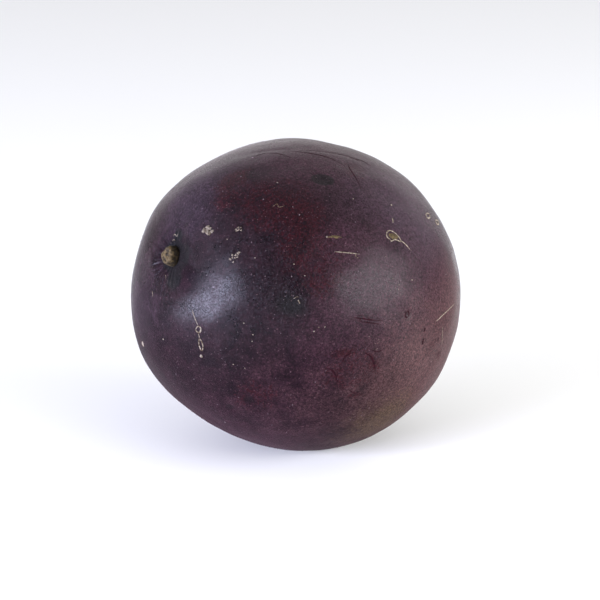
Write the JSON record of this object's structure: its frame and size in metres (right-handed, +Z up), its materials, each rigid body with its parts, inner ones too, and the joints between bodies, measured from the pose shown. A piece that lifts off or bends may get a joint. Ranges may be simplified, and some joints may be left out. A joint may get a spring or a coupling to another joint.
{
  "type": "passion fruit",
  "caption": "Ripe purple passion fruit lying on its side on a small flat spot, with its stem scar in a shallow funnel, for food, kitchen and still-life scenes",
  "frame": {"origin": "bottom centre of the bounding box, on the surface that the fruit rests on", "axes": "+Z up; +X is the longest way across; the stem scar is at the -X end, tipped 25 degrees up, with the line from blossom end to scar in the XZ plane"},
  "size_m": [0.0544, 0.0484, 0.0495],
  "materials": {
    "rind": "waxy purple rind with a soft satin gloss",
    "stem_scar": "dry pale corky stem scar",
    "cork": "dry pale cork of healed scratches and breathing spots"
  },
  "bodies": {
    "root": {"passion_fruit": "rind"}
  },
  "joints": []
}
